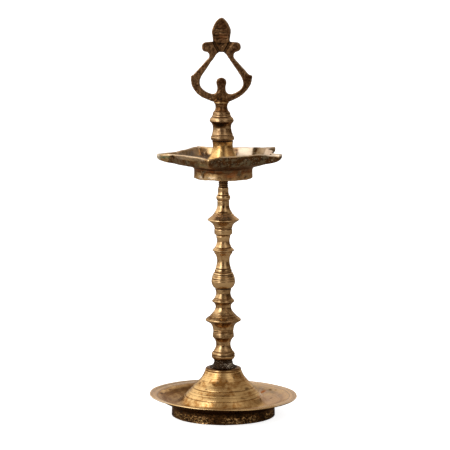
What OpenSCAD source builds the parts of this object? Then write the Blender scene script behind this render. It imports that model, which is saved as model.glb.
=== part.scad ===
// Brass standing oil lamp (samai): a turned stem on a drip-plate base, a five-spouted oil dish
// and a looped finial. The pieces screw together. Threads are drawn as plain cylinders.
// The origin is the centre of the foot, on the ground, and +Z is up.

/* [Base] */
// Radius of the foot ring at the ground
foot_r = 48.4; // [47:0.1:49]
// Wall of the foot ring
foot_wall = 4; // [2.5:0.1:4.5]
// Outer radius of the drip plate
plate_r = 69.2; // [67:0.1:72]
// Height of the drip plate's rim
plate_h = 19.2; // [18.5:0.1:20]
// Height of the flat top of the dome, where the packing sits
dome_h = 45.3; // [45:0.1:45.8]

/* [Stem] */
// Height at which the stem's lower section starts
stem_z = 52.8; // [52.2:0.1:53.2]
// Height of the joint between the two stem sections
stem_joint_z = 119; // [118.6:0.1:119.2]
// Height of the top of the threaded stud
stud_top_z = 250; // [247:0.5:251]

/* [Oil dish] */
// Height of the dish's rim
rim_z = 246.1; // [245:0.1:247]
// Radius of the rim between the spouts
rim_r = 45.8; // [44:0.1:47]
// Distance from the axis to a spout's tip
spout_r = 61.6; // [59:0.1:63]
// Half width of a spout at its tip
spout_tip_r = 2.4; // [2:0.1:3]
// Directions of the five spouts, in degrees
spout_angles = [-102, -30, 40, 113, 185];
// Thickness of the dish's wall
dish_wall = 2; // [1.6:0.1:2.4]
// Radius of the collar under the dish
collar_r = 27; // [26:0.1:28]
// Height of the collar's lower edge
collar_z = 222.7; // [221:0.1:224]

/* [Boss and finial] */
// Height of the joint between the boss and the finial's washer
boss_top_z = 257.3; // [257:0.1:257.6]
// Height of the top of the turned neck
neck_top_z = 292.7; // [292.5:0.1:293]
// Overall height of the lamp
lamp_h = 370.6; // [369.5:0.1:371.5]
// Thickness of the flat loop casting
loop_t = 5.6; // [4.5:0.1:6.5]
// Thickness of the bud at the top of the loop
bud_t = 7.6; // [6:0.1:9]
// Turn of the loop about the lamp's axis, in degrees
loop_turn = -10; // [-20:1:0]

/* [Threads] */
// Radius of the stud's and upper tenons' thread, three eighths of an inch across
thread_r = 4.76; // [4.7:0.01:4.8]
// Radius of the lower tenon's thread, half an inch across
tenon_r = 6.35; // [6.3:0.01:6.4]
// Gap all round between a thread and its tapped hole
thread_gap = 0.05; // [0.02:0.01:0.09]
// Gap all round between a thread and a washer
washer_gap = 0.3; // [0.2:0.05:0.5]

/* [Hidden] */
$fn = 96;

brass = "#b08a4a";
bright_brass = "#c9a055";
dark_brass = "#5a4028";
patina_brass = "#6b5a3c";
lac = "#1e1813";
leather = "#4a3324";

hub_base_z = 31;             // underside of the tapped hub inside the dome
hub_base_r = 10.5;
washer_t = 0.6;              // thin washers in the stem's and finial's joints
tenon_end_z = 106;           // lower end of the upper stem's tenon
tapped_end_z = 104;          // bottom of the hole it screws into
dish_floor_z = 235.6;        // flat floor of the oil bowl
dish_hub_z = 227.5;          // underside of the dish's tapped hub
dish_hub_r = 9;
packing_t = 2;
gasket_t = 1;
gasket_r = 16;
boss_z = dish_floor_z + gasket_t;
finial_z = boss_top_z + washer_t;
finial_tenon = 6.6;
tang_r = 3;
tang_len = 8;
spout_root = 17;             // half of a spout's spread where it leaves the rim, in degrees
tip_z = 244.2;               // underside of a spout at its tip
collar_wall = 2.6;
collar_top_z = 232.4;        // inside the bowl's wall

// ---- Outlines ----

function last(v) = v[len(v) - 1];

// Points after a on the curve that leaves a towards c and ends at b, or with two guides c and d
function curve2(a, c, b, n) = [for (i = [1 : n]) let (t = i / n)
    (1 - t) * (1 - t) * a + 2 * t * (1 - t) * c + t * t * b];
function curve3(a, c, d, b, n) = [for (i = [1 : n]) let (t = i / n)
    pow(1 - t, 3) * a + 3 * t * pow(1 - t, 2) * c + 3 * t * t * (1 - t) * d + pow(t, 3) * b];

// An outline from a list of moves: [p] is a straight line to p, [c, p] a curve to p with one
// guide point and [c, d, p] a curve with two
function outline(moves, n = 7, i = 0, pts = []) =
    i == len(moves) ? pts :
    let (m = moves[i])
    outline(moves, n, i + 1, concat(pts,
        len(m) == 1 ? m :
        len(m) == 2 ? curve2(last(pts), m[0], m[1], n) :
                      curve3(last(pts), m[0], m[1], m[2], n + 2)));

// A turned groove cut into a surface of radius r at height z, as two moves: its root and its top
function groove(r, z, deep = 0.45, half = 0.4) = [[[r - deep, z]], [[r - deep / 8, z + half]]];

function on_circle(r, a) = [r * cos(a), r * sin(a)];

// ---- Base and its packing ----

module base() {
    foot_in = foot_r - foot_wall;
    color(brass)
    rotate_extrude()
    polygon(outline(concat(
        // foot ring and underside of the plate
        [[[foot_in, 0]], [[foot_r, 0]], [[foot_r - 0.2, 8.2]],
         [[foot_r - 0.1, 10.2], [50.6, 11.0]], [[56.2, 13.8], [61.6, 16.5]],
         [[plate_r - 0.8, 17.8]],
         // rim, its two incised lines, and the well
         [[plate_r, 18.4]], [[plate_r - 0.4, plate_h]], [[66.4, plate_h - 0.2]],
         [[66.1, 18.6]], [[65.8, plate_h - 0.3]], [[65.2, plate_h - 0.3]],
         [[64.9, 18.4]], [[64.6, plate_h - 0.4]], [[60.8, 18.1]],
         [[58.6, 17.9], [56.6, 16.7]], [[51.4, 13.3], [44.6, 12.1]],
         // dome, from its foot up, with its turned lines
         [[40.6, 11.8], [38.6, 14.6]], [[36.3, 18.4]], [[35.5, 18.7]], [[35.4, 19.3]],
         [[34.0, 21.2], [29.0, 26.1]], [[28.3, 26.4]], [[28.3, 27.1]],
         [[26.0, 29.6]], [[18.9, 35.9], [17.2, 42.1]],
         [[16.4, 42.6]], [[16.9, 43.2]], [[16.8, 44.8], [15.2, dome_h - 0.2]], [[12.6, dome_h]],
         // tapped hub and the hollow inside
         [[tenon_r + thread_gap, dome_h]], [[tenon_r + thread_gap, hub_base_z]],
         [[hub_base_r, hub_base_z]], [[hub_base_r, 38.6]], [[10.7, 40.6], [12.6, 40.2]],
         [[16.4, 35.2], [22.4, 30.0]], [[31.4, 21.6], [34.6, 14.6]], [[37.0, 9.8], [41, 9.4]],
         [[foot_in - 0.8, 9.2]], [[foot_in, 8.2]]])));
}

// The packing fills the gap between the dome and the stem, with a concave waist
module base_packing() {
    color(lac)
    rotate_extrude()
    polygon(outline([
        [[tenon_r + washer_gap, dome_h]], [[12.8, dome_h]], [[12.6, 45.9]],
        [[9.4, 46.7], [8.8, 50.0]], [[8.6, 51.4], [9.1, stem_z]],
        [[tenon_r + washer_gap, stem_z]]]));
}

// ---- Stem ----

module stem_lower() {
    hole_r = thread_r + thread_gap;
    color(brass)
    rotate_extrude()
    polygon(outline(concat(
        [[[0, hub_base_z]], [[tenon_r - 0.6, hub_base_z]], [[tenon_r, hub_base_z + 0.6]],
         [[tenon_r, stem_z]], [[9.2, stem_z]],
         // bottom bead
         [[11.0, 53.6], [11.0, 56.6]]], groove(11.0, 57),
        [[[10.9, 58.8], [9.9, 59.8]],
         // first waist, up to the drum
         [[7.4, 62.4], [6.85, 66.2]], [[6.8, 69.6], [8.2, 71.7]], [[9.95, 73.6]], [[10.05, 74.3]],
         [[9.8, 77.4]], [[9.8, 78.6]]], groove(9.8, 79),
        [[[9.8, 80.5]]], groove(9.85, 80.9),
        // cove up to the broad flange
        [[[10.1, 84.2], [11.6, 86.0]], [[12.8, 87.5], [16.0, 88.8]], [[16.6, 89.3]],
         [[16.6, 90.3]], [[16.1, 91.1]], [[12.8, 93.7]], [[12.1, 93.9]], [[12.2, 94.5]],
         [[11.0, 95.6]], [[10.4, 95.8]], [[10.4, 96.3]],
         // waist under the ring
         [[7.9, 98.4], [7.25, 101.8]], [[7.2, 104.3], [8.6, 105.6]], [[9.7, 106.4]],
         [[10.45, 107.2]], [[10.5, 108.0]], [[9.9, 109.0]],
         [[7.3, 111.0], [6.85, 114.8]], [[6.8, 116.8], [7.75, stem_joint_z]],
         // tapped hole for the upper section
         [[hole_r, stem_joint_z]], [[hole_r, tapped_end_z]], [[0, tapped_end_z]]])));
}

module thin_washer(r_out, z, t) {
    translate([0, 0, z])
    difference() {
        cylinder(r = r_out, h = t);
        translate([0, 0, -1]) cylinder(r = thread_r + washer_gap, h = t + 2);
    }
}

module stem_washer() { color(leather) thin_washer(7.3, stem_joint_z, washer_t); }

module stem_upper() {
    seat = stem_joint_z + washer_t;
    color(brass)
    rotate_extrude()
    polygon(outline(concat(
        // tenon
        [[[0, tenon_end_z]], [[thread_r - 0.6, tenon_end_z]], [[thread_r, tenon_end_z + 0.6]],
         [[thread_r, seat]], [[7.9, seat]],
         // ball, with its ladder of grooves
         [[9.4, 120.6], [10.9, 122.8], [11.2, 126.6]], [[11.1, 127.9]]], groove(11.1, 128.35),
        [[[10.6, 130.2]]], groove(10.5, 130.6),
        [[[9.8, 132.5]]], groove(9.7, 132.9),
        [[[8.5, 134.9]]], groove(8.4, 135.3),
        [[[7.5, 137.8]]], groove(7.4, 138.2),
        // waist, ring
        [[[6.1, 141.6], [5.9, 145.4]], [[5.95, 149.2], [7.3, 151.3]], [[8.9, 153.4]]],
        groove(8.9, 153.9, 0.4),
        [[[10.2, 154.9]], [[10.25, 155.7]],
         [[7.2, 158.2], [6.2, 162.0]], [[5.6, 164.2], [6.2, 166.2]], [[6.7, 168.2]]],
        groove(6.7, 168.7, 0.3),
        // drum and its two grooves
        [[[8.2, 170.6]], [[8.4, 171.1]], [[8.4, 175.4]]], groove(8.4, 175.8),
        [[[8.8, 177.4]]], groove(8.9, 177.8),
        // flange
        [[[9.8, 180.2], [11.6, 181.4]], [[12.8, 182.3], [14.4, 183.1]], [[14.8, 183.7]],
         [[14.6, 184.4]], [[10.3, 187.8]]], groove(10.2, 188.2),
        [[[8.9, 189.6]]], groove(8.7, 190.0),
        // long cove up to the bead under the shank
        [[[6.2, 192.8], [5.6, 197.2]], [[5.6, 201.2]]], groove(5.6, 201.6, 0.3),
        [[[6.7, 202.8], [6.6, 204.8]], [[6.5, 206.3], [5.8, 206.8]], [[5.4, 207.1]],
         [[5.4, 207.6]], [[4.95, 208.8], [4.95, 211.0]],
         // shank and threaded stud
         [[4.95, 213.6]], [[thread_r, 214.2]],
         [[thread_r, stud_top_z - 0.8]], [[thread_r - 0.8, stud_top_z]], [[0, stud_top_z]]])));
}

// ---- Oil dish ----

// One spout of the dish's plan, pointing along angle a: a curved flank, a round tip, a flank
function spout_plan(a, r, tip, w) = let (
        centre = tip - w,                            // centre of the round tip
        from = on_circle(r, spout_root),
        flank = concat([from], curve2(from, [r + 0.2, 5.4], [centre, w], 6)),
        round_tip = [for (i = [1 : 5]) [centre, 0] + on_circle(w, 90 - 180 * i / 6)],
        half = concat(flank, round_tip),
        back = [for (i = [len(flank) - 1 : -1 : 0]) [flank[i][0], -flank[i][1]]],
        all = concat(half, back))
    [for (i = [len(all) - 1 : -1 : 0])
        [all[i][0] * cos(a) - all[i][1] * sin(a), all[i][0] * sin(a) + all[i][1] * cos(a)]];

// The whole plan: the spouts joined by arcs of the rim
function dish_plan(r, tip, w) = let (last_spout = len(spout_angles) - 1, arc_steps = 6)
    [for (k = [0 : last_spout]) let (
            from = spout_angles[k] + spout_root,
            next = k == last_spout ? spout_angles[0] + 360 : spout_angles[k + 1],
            to = next - spout_root,
            rim = [for (i = [1 : arc_steps - 1]) on_circle(r, from + (to - from) * i / arc_steps)])
        each concat(spout_plan(spout_angles[k], r, tip, w), rim)];

// The plan drawn up from z_low to z_high, where it has its full size
module dish_prism(r, tip, w, z_low, z_high, shrink) {
    translate([0, 0, z_low])
    linear_extrude(height = z_high - z_low, scale = 1 / shrink)
    scale(shrink)
    polygon(dish_plan(r, tip, w));
}

module dish_outside() {
    flare = 0.86;
    over = 2;
    intersection() {
        dish_prism(rim_r, spout_r, spout_tip_r, 230, rim_z, flare);
        rotate_extrude()
        polygon(outline([[[0, 230.5]], [[collar_r, 230.5]], [[27.6, 232.6], [30, 233.4]],
            [[36, 235.4], [42, 236.3]], [[49, 237.3], [52, 239.2]],
            [[57.4, 241.8], [spout_r, tip_z]],
            [[spout_r + over, tip_z]], [[spout_r + over, rim_z]], [[0, rim_z]]]));
    }
}

module dish_inside() {
    flare = 0.88;
    over = 1;
    w = spout_tip_r - dish_wall * 0.5;
    intersection() {
        dish_prism(rim_r - dish_wall, spout_r - dish_wall, w, dish_floor_z - 3, rim_z + over, flare);
        rotate_extrude()
        polygon(outline([[[0, dish_floor_z]], [[20, dish_floor_z]],
            [[32, dish_floor_z + 0.6], [44, 239.2]], [[49, 240.8], [53, 242]],
            [[57, 243.6], [spout_r, rim_z + over]], [[0, rim_z + over]]]));
    }
}

module oil_dish() {
    color(patina_brass)
    difference() {
        union() {
            difference() {
                dish_outside();
                dish_inside();
            }
            // collar ring and hub under the bowl
            rotate_extrude()
            polygon([[collar_r - collar_wall, collar_z], [collar_r + 0.2, collar_z],
                     [collar_r, collar_top_z - 1.2], [collar_r - collar_wall, collar_top_z]]);
            translate([0, 0, dish_hub_z]) cylinder(r = dish_hub_r, h = collar_top_z - dish_hub_z);
        }
        translate([0, 0, dish_hub_z - 1])
        cylinder(r = thread_r + thread_gap, h = dish_floor_z - dish_hub_z + 2);
    }
}

module dish_packing() { color(lac) thin_washer(7.8, dish_hub_z - packing_t, packing_t); }

module boss_gasket() { color(leather) thin_washer(gasket_r, dish_floor_z, gasket_t); }

// ---- Boss and finial ----

module boss_cone() {
    hole_r = thread_r + thread_gap;
    color(bright_brass)
    rotate_extrude()
    polygon(outline([
        [[hole_r, boss_z]], [[17.2, boss_z]], [[17.2, boss_z + 1]],
        [[13.6, 241.0], [11.4, 245.4]], [[9.4, 249.6], [9.3, 253.4]],
        [[9.4, 255.8], [9.9, boss_top_z]], [[hole_r, boss_top_z]]]));
}

module finial_washer() { color(leather) thin_washer(9.2, boss_top_z, washer_t); }

module finial_neck() {
    tenon_z = finial_z - finial_tenon;
    color(brass)
    rotate_extrude()
    polygon(outline(concat(
        [[[0, tenon_z]], [[thread_r - 0.6, tenon_z]], [[thread_r, tenon_z + 0.6]],
         [[thread_r, finial_z]], [[10.0, finial_z]],
         // bead and waist
         [[11.2, 258.6], [11.0, 260.4]], [[10.8, 261.7], [10.0, 262.3]]],
        groove(9.9, 262.8),
        [[[8.8, 265.0], [8.45, 269.0]], [[8.3, 272.2], [9.8, 273.8]],
         // flange
         [[10.9, 274.7]], [[11.25, 275.6]], [[11.1, 276.9]], [[10.6, 278.4], [9.2, 279.7]],
         [[8.45, 281.0]]], groove(8.45, 281.4),
        // upper waist and lip
        [[[8.3, 283.6], [6.8, 284.8]], [[5.6, 286.4], [5.55, 288.6]], [[5.6, 290.8], [6.4, 291.7]],
         [[7.0, 292.2]], [[7.0, neck_top_z]],
         // socket for the loop's tang
         [[tang_r, neck_top_z]], [[tang_r, neck_top_z - tang_len]],
         [[0, neck_top_z - tang_len]]])));
}

// Half of the loop's outer edge, from its foot up to the bud's shoulder: distance from the axis
// and height. full is how much fuller its lower arc is, because the casting is hand made
function loop_outer(full) = outline([
    [[0, 293.4]], [[7.6, 293.4]],
    [[21.0 + full, 299.2 - full / 2], [27.8 + full / 4, 306.2], [28.4, 315.4]], [[28.2, 316.9]],
    [[25.9, 318.2]], [[12.9, 332.2]], [[10.9, 333.8], [11.1, 336.0]], [[11.6, 338.8], [13.6, 339.1]],
    [[17.9, 339.3], [17.95, 343.7]], [[17.9, 348.2], [13.4, 348.3]], [[7.9, 348.6]], [[0, 348.6]]]);

// Right half of the opening, from beside the knob round to the blunt end of the calyx
function loop_opening() = outline([
    [[0, 300.4]], [[9.4, 300.6]], [[12.4, 301.2], [15.2, 303.0]],
    [[21.6, 306.4], [22.4, 312.8], [16.6, 319.8]], [[4.6, 337.0]], [[2.2, 338.9]], [[0, 338.9]]]);

// Knob that stands up in the opening
function knob() = outline([
    [[0, 299.8]], [[9.4, 300.0]], [[4.2, 300.8], [3.8, 304.4]], [[3.5, 307.0], [4.1, 308.6]],
    [[5.4, 312.0], [3.4, 314.4]], [[2.0, 315.6], [0, 315.6]]]);

// Bud, from its base to its tip
function bud() = outline([
    [[0, 347.6]], [[7.8, 347.6]], [[7.7, 350.6]], [[7.8, 353.2], [8.4, 356.2]],
    [[8.9, 361.4], [4.6, 369.6], [0, lamp_h]]]);

module both_halves(half) {
    polygon(half);
    mirror([1, 0, 0]) polygon(half);
}

module plate(t) {
    translate([0, t / 2, 0]) rotate([90, 0, 0]) linear_extrude(height = t) children();
}

module finial_loop() {
    color(dark_brass)
    rotate([0, 0, loop_turn])
    union() {
        plate(loop_t)
        union() {
            difference() {
                union() {
                    polygon(loop_outer(0.4));
                    mirror([1, 0, 0]) polygon(loop_outer(3));
                }
                both_halves(loop_opening());
            }
            both_halves(knob());
        }
        plate(bud_t) both_halves(bud());
        // round root on the neck, and the tang brazed into its socket
        translate([0, 0, neck_top_z]) cylinder(r1 = 6.6, r2 = 5.2, h = 2.6);
        translate([0, 0, neck_top_z - tang_len + 0.5])
        cylinder(r = tang_r - thread_gap, h = tang_len + 1);
    }
}

base();
base_packing();
stem_lower();
stem_washer();
stem_upper();
dish_packing();
oil_dish();
boss_gasket();
boss_cone();
finial_washer();
finial_neck();
finial_loop();
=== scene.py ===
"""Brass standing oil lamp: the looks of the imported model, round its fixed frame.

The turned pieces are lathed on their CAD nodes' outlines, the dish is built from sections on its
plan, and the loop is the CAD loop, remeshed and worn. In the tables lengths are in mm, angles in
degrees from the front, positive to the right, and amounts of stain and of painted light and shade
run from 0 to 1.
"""
import math
from functools import reduce

import bmesh
import bpy
import numpy as np
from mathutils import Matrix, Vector, noise


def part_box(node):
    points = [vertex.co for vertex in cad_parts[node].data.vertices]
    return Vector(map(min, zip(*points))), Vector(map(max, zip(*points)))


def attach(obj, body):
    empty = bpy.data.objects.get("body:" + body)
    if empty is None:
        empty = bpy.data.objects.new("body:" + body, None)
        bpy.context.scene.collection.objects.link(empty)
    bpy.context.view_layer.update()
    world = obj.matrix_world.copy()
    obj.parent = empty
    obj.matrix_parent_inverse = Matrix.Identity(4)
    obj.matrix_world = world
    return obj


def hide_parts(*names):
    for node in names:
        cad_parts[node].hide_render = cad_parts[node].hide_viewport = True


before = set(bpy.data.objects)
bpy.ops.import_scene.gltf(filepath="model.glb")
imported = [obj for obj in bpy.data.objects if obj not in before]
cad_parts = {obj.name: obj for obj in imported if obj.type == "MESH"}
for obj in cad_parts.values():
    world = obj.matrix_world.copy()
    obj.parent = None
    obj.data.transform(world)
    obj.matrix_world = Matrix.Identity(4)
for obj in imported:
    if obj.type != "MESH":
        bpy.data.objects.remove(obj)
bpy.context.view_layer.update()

MM = 0.001

# Threads of the screw joints: radius, pitch and depth
STUD = {"radius": 4.76 * MM, "pitch": 25.4 / 16 * MM, "depth": 0.62 * MM}
TENON = {"radius": 6.35 * MM, "pitch": 25.4 / 12 * MM, "depth": 0.85 * MM}

# The dish: directions of its spouts and half the spread of a spout's root, in degrees from the
# x axis; radius and height of its rim, and how far its spouts reach
SPOUTS = (-102, -30, 38, 113, 185)
SPOUT_SPREAD = 17
RIM_R = 45.8 * MM
RIM_Z = 246.1 * MM
SPOUT_R = 61.6 * MM
SPOUT_TIP_R = 2.3 * MM
SPOUT_SIDE = 5.4 * MM
FRONT_SPOUT = -12

# Turned grooves of the stems and the finial's neck: height and depth. They are this wide, and
# end where the metal is no wider than the bare thread.
GROOVE_WIDTH = 0.42
BARE_THREAD_R = 5.4
LOWER_GROOVES = (
    (110.6, 0.18), (109.2, 0.14), (106.4, 0.20), (95.1, 0.22), (93.2, 0.18), (89.0, 0.20),
    (79.6, 0.26), (78.1, 0.22), (72.9, 0.20), (60.3, 0.20), (56.9, 0.24))
UPPER_GROOVES = (
    (207.4, 0.22), (202.9, 0.20), (189.4, 0.09), (187.7, 0.07), (182.8, 0.20), (176.9, 0.24),
    (175.5, 0.22), (169.8, 0.20), (158.2, 0.18), (155.3, 0.16), (153.4, 0.16), (138.4, 0.22),
    (136.4, 0.20), (135.0, 0.22), (133.1, 0.18), (131.6, 0.18), (128.9, 0.22), (127.0, 0.14),
    (119.9, 0.20))
NECK_GROOVES = ((282.6, 0.18), (279.8, 0.20), (274.6, 0.24), (261.6, 0.22), (259.6, 0.18))

# Incised lines of the base, seen from above: radius and depth
BASE_LINES = (
    (67.2, 0.22), (65.9, 0.16), (61.9, 0.12), (41.2, 0.08), (33.0, 0.12), (31.2, 0.14),
    (30.4, 0.10), (25.8, 0.12), (24.9, 0.10), (21.6, 0.08))
BASE_LINE_WIDTH = 0.28

# The loop stands turned by this much about the lamp's axis. Cuts run down each side of its
# calyx, and lines lie across its bud at these heights.
LOOP_TURN = math.radians(-10)
CALYX_CUT = ((8.3, 349.2), (2.0, 338.0))
CALYX_EDGE = ((0, 348.2), (8.2, 348.2))
BUD_LINES = (351.6, 354.3, 357.2, 360.4)

# The camera: lens and sensor in mm, place in metres, and how far it is tilted up from straight
# down, in degrees
LENS, SENSOR = 179.8, 36.0
CAMERA_PLACE = (0.0016, -2.066, 0.452)
CAMERA_TILT = 82.468

# The lights: name, degrees from the front, distance, height, size, power and tint. They aim at
# the lamp's middle.
LIGHTS = (("key_left", -72, 1.6, 0.9, (1.6, 1.5), 16, (1.0, 0.96, 0.90)),
          ("key_right", 40, 1.6, 0.6, (0.6, 1.2), 3, (1.0, 0.95, 0.88)),
          ("top", 180, 0.1, 1.7, (1.4, 1.4), 6, (1.0, 0.98, 0.95)))
LAMP_MIDDLE = (0, 0, 0.2)
FLOOR_HALF = 40.0


# ---- Shader helpers ----

def feed(tree, inputs, values):
    """Gives a node's inputs their numbers and their links."""
    for key, value in values.items():
        if isinstance(value, bpy.types.NodeSocket):
            tree.links.new(value, inputs[key])
        else:
            inputs[key].default_value = value


def add(tree, kind, inputs, **settings):
    """A new shader node with its settings and its inputs."""
    made = tree.nodes.new(kind)
    for key, value in settings.items():
        setattr(made, key, value)
    feed(tree, made.inputs, inputs)
    return made


def math_node(tree, operation, a, b=0.0):
    return add(tree, "ShaderNodeMath", {0: a, 1: b}, operation=operation).outputs[0]


def weighted(tree, *terms):
    """The sum of the values, each times its weight."""
    total = None
    for value, weight in terms:
        part = math_node(tree, "MULTIPLY", value, weight)
        total = part if total is None else math_node(tree, "ADD", total, part)
    return total


def band(tree, value, low, high, to_low=0.0, to_high=1.0):
    """value carried smoothly from low..high to to_low..to_high."""
    return add(tree, "ShaderNodeMapRange", {"Value": value, "From Min": low, "From Max": high,
                                            "To Min": to_low, "To Max": to_high},
               interpolation_type="SMOOTHSTEP").outputs["Result"]


def blend(tree, amount, a, b, kind="MIX"):
    """Colour a, turning to colour b by amount."""
    return add(tree, "ShaderNodeMix", {0: amount, 6: a, 7: b}, data_type="RGBA",
               blend_type=kind).outputs[2]


def blotches(tree, vector, size, detail=4.0, rough=0.55, distortion=0.0):
    """Noise with features of about that size, in metres."""
    return add(tree, "ShaderNodeTexNoise",
               {"Vector": vector, "Scale": 1.0 / size, "Detail": detail, "Roughness": rough,
                "Distortion": distortion}).outputs[0]


def colour(*rgb):
    return (*rgb, 1.0)


def attribute(tree, name, output="Fac"):
    return add(tree, "ShaderNodeAttribute", {}, attribute_name=name).outputs[output]


def ring_vector(tree, place):
    """Coordinates that are the same all round the axis: distance from it and height."""
    flat = add(tree, "ShaderNodeVectorMath", {0: place, 1: (1.0, 1.0, 0.0)},
               operation="MULTIPLY").outputs[0]
    radius = add(tree, "ShaderNodeVectorMath", {0: flat}, operation="LENGTH").outputs["Value"]
    height = add(tree, "ShaderNodeSeparateXYZ", {0: place}).outputs["Z"]
    return add(tree, "ShaderNodeCombineXYZ", {"X": radius, "Z": height}).outputs[0]


def new_material(name):
    """A new material, its node tree, its shader's inputs, and the place on the body."""
    material = bpy.data.materials.new(name)
    material.use_nodes = True
    tree = material.node_tree
    place = add(tree, "ShaderNodeTexCoord", {}).outputs["Object"]
    return material, tree, tree.nodes["Principled BSDF"].inputs, place


def bumps(tree, height, strength, distance):
    """Normals of a surface with that height."""
    return add(tree, "ShaderNodeBump", {"Height": height, "Strength": strength,
                                        "Distance": distance}).outputs[0]


# ---- Materials ----

# Tints of the stains, which also lay painted shade and painted light, and of the grime, then of
# the shader's sheen on dirt and on bare metal
SOOT_AND_SHADE = colour(0.014, 0.007, 0.003)
BROWN_FILM_AND_SHADE = colour(0.13, 0.058, 0.018)
VERDIGRIS = colour(0.06, 0.16, 0.10)
COPPER_RED = colour(0.42, 0.13, 0.032)
PALE = colour(0.82, 0.70, 0.56)
DUST = colour(0.50, 0.40, 0.28)
CRUST = colour(0.17, 0.14, 0.085)
WARM = colour(1.0, 0.45, 0.15)
DULL = colour(0.68, 0.62, 0.57)


# Stains and painted light and shade in the order they lie: channel of the attribute, tint, and the
# amounts between which the layer sets in. The channels of soot and of copper red also carry
# painted shade, and that of the pale tint carries painted light. The brown film leaves the metal's
# shine, and the others hide it.
STAIN_AND_PAINTED_LIGHT_LAYERS = (("Alpha", PALE, 0.08, 0.85), ("Blue", COPPER_RED, 0.08, 0.85),
          ("Green", VERDIGRIS, 0.08, 0.85), ("Red", BROWN_FILM_AND_SHADE, 0.08, 0.40),
          ("Red", SOOT_AND_SHADE, 0.42, 0.85))
HIDES = 0.7

# Grime: greenish crust, dark spatters and pale flecks, with size, threshold, tint and offset
GRIME = ((5.0, 0.48, CRUST, 0.0), (2.6, 0.54, SOOT_AND_SHADE, 3.0), (1.3, 0.58, DUST, 7.0))


def aged_brass(name, clean, tarnish, dark, tarnish_level, dark_level, gloss, turned=1.0,
               streaks=0.0, grime=0.0, bloom=HIDES):
    """Old brass: clean metal on edges and rubbed faces, brown tarnish in patches and hollows,
    stains and painted light and shade where the attribute says so, with turning marks and fine
    scratches."""
    material, tree, inputs, place = new_material(name + "_brass_look")
    fine, broad = attribute(tree, "fine"), attribute(tree, "broad")
    split = add(tree, "ShaderNodeSeparateColor", {0: attribute(tree, "stain_and_painted_light", "Color")}).outputs
    amounts = {channel: split[channel] for channel in ("Red", "Green", "Blue")}
    amounts["Alpha"] = attribute(tree, "stain_and_painted_light", "Alpha")
    patches = blotches(tree, place, 8 * MM, 5, 0.62, 0.6)
    specks = blotches(tree, place, 1.8 * MM, 4, 0.65)
    ring_marks = blotches(tree, ring_vector(tree, place), 1.1 * MM, 3, 0.7)

    # tarnish: patches, turned bands and hollows, less on edges, and runs down the piece
    terms = [(patches, 1.3), (ring_marks, 0.45 * turned), (specks, 0.45), (fine, -0.45),
             (broad, -0.25)]
    if streaks:
        stretched = add(tree, "ShaderNodeMapping",
                        {"Vector": place, "Scale": (1.0, 1.0, 0.12)}).outputs[0]
        terms.append((blotches(tree, stretched, 2.2 * MM, 3, 0.6), streaks))
    tarnished = band(tree, weighted(tree, *terms), tarnish_level, tarnish_level + 0.5)
    base = blend(tree, tarnished, colour(*clean), colour(*tarnish))

    # dark film in the hollows, then the stains and the painted light and shade, each with a ragged
    # edge
    film = weighted(tree, (fine, -1.0), (specks, 0.55), (broad, -0.15))
    filmed = band(tree, film, dark_level, dark_level + 0.45)
    base = blend(tree, filmed, base, colour(*dark))
    cover = math_node(tree, "MULTIPLY", filmed, 0.5)
    ragged = math_node(tree, "SUBTRACT", weighted(tree, (specks, 1.5), (patches, 1.1)), 1.3)
    for channel, tint, low, high in STAIN_AND_PAINTED_LIGHT_LAYERS:
        amount = amounts[channel]
        mask = band(tree, math_node(tree, "ADD", amount,
                                    math_node(tree, "MULTIPLY", ragged, amount)), low, high)
        base = blend(tree, mask, base, tint)
        if tint is not BROWN_FILM_AND_SHADE:
            hidden = math_node(tree, "MULTIPLY", mask, bloom if tint is PALE else HIDES)
            cover = math_node(tree, "MAXIMUM", cover, hidden)
    if grime:
        # most where the soot and the painted shade lie
        much = math_node(tree, "ADD", math_node(tree, "MULTIPLY", amounts["Red"], 1.3), grime)
        much = math_node(tree, "MINIMUM", much, 1.0)
        for size, low, tint, shift in GRIME:
            moved = add(tree, "ShaderNodeVectorMath", {0: place, 1: (shift,) * 3}).outputs[0]
            spatter = band(tree, blotches(tree, moved, size * MM, 4, 0.6, 0.4), low, low + 0.10)
            spatter = math_node(tree, "MULTIPLY", spatter, much)
            base = blend(tree, spatter, base, tint)
            cover = math_node(tree, "MAXIMUM", cover,
                              math_node(tree, "MULTIPLY", spatter, HIDES))

    # metal shows less, and rougher, where film, stain and painted light and shade cover it
    rough = weighted(tree, (cover, 0.35), (ring_marks, 0.12 * turned), (patches, 0.12))
    height = weighted(tree, (ring_marks, 0.7 * turned), (specks, 0.5), (patches, 0.8))
    feed(tree, inputs, {"Base Color": base, "Metallic": math_node(tree, "SUBTRACT", 1.0, cover),
                        "Roughness": math_node(tree, "ADD", rough, gloss),
                        "Specular IOR Level": 0.2, "Specular Tint": blend(tree, cover, DULL, WARM),
                        "Normal": bumps(tree, height, 0.45, 0.3 * MM)})
    return material


def lac_material():
    """Black-brown lac and fibre, pitted, with pale grit."""
    material, tree, inputs, place = new_material("lac_packing_look")
    clumps = blotches(tree, place, 2.2 * MM, 5, 0.65)
    grit = blotches(tree, place, 1.1 * MM, 3, 0.6, 0.8)
    base = blend(tree, band(tree, clumps, 0.4, 0.65), colour(0.010, 0.006, 0.004),
                 colour(0.038, 0.021, 0.010))
    gritty = math_node(tree, "ADD", grit,
                       math_node(tree, "MULTIPLY", attribute(tree, "stain_and_painted_light", "Alpha"), 0.14))
    base = blend(tree, band(tree, gritty, 0.63, 0.69, 0.0, 0.9), base, colour(0.62, 0.52, 0.40))
    height = math_node(tree, "ADD", clumps, math_node(tree, "MULTIPLY", grit, 0.6))
    feed(tree, inputs, {"Base Color": base, "Specular IOR Level": 0.2, "Specular Tint": WARM,
                        "Roughness": band(tree, clumps, 0.3, 0.7, 0.45, 0.8),
                        "Normal": bumps(tree, height, 0.8, 0.6 * MM)})
    return material


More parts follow.
